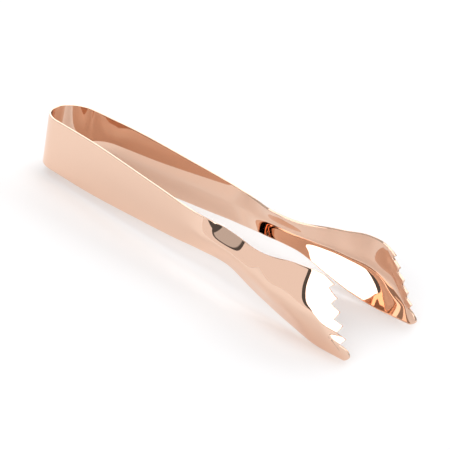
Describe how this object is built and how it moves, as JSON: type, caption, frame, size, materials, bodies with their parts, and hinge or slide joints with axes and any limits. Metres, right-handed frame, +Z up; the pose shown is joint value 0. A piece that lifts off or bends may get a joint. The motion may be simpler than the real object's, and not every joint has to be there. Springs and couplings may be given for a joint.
{
  "type": "ice tongs",
  "caption": "Spring-strip ice tongs with a rounded bow, long flat arms and two cupped, saw-toothed claws, in polished copper-coloured plate.",
  "frame": {"origin": "middle of the bounding box, at its base, with the tongs standing on the strip's lower edge", "axes": "+X from the bow to the claws, +Y to the left arm, +Z up across the strip's width"},
  "size_m": [0.1738, 0.0524, 0.0275],
  "materials": {
    "copper_plate": "polished copper-coloured plating on stainless steel"
  },
  "bodies": {
    "bow": {"spring_bow": "copper_plate"},
    "right_arm": {"right_arm": "copper_plate", "right_claw": "copper_plate"},
    "left_arm": {"left_arm": "copper_plate", "left_claw": "copper_plate"}
  },
  "joints": [
    {"name": "right_flex", "type": "hinge", "parent": "bow", "child": "right_arm", "pos_m": [-0.06736, -0.01154, 0.01482], "axis": [0, 0, 1], "range_deg": [0, 7.4], "stiffness_Nm_per_rad": 4},
    {"name": "left_flex", "type": "hinge", "parent": "bow", "child": "left_arm", "pos_m": [-0.06736, 0.01154, 0.01482], "axis": [0, 0, -1], "range_deg": [0, 7.4], "stiffness_Nm_per_rad": 4}
  ],
  "couplings": [
    {"joint": "left_flex", "follows": "right_flex", "ratio": 1}
  ]
}
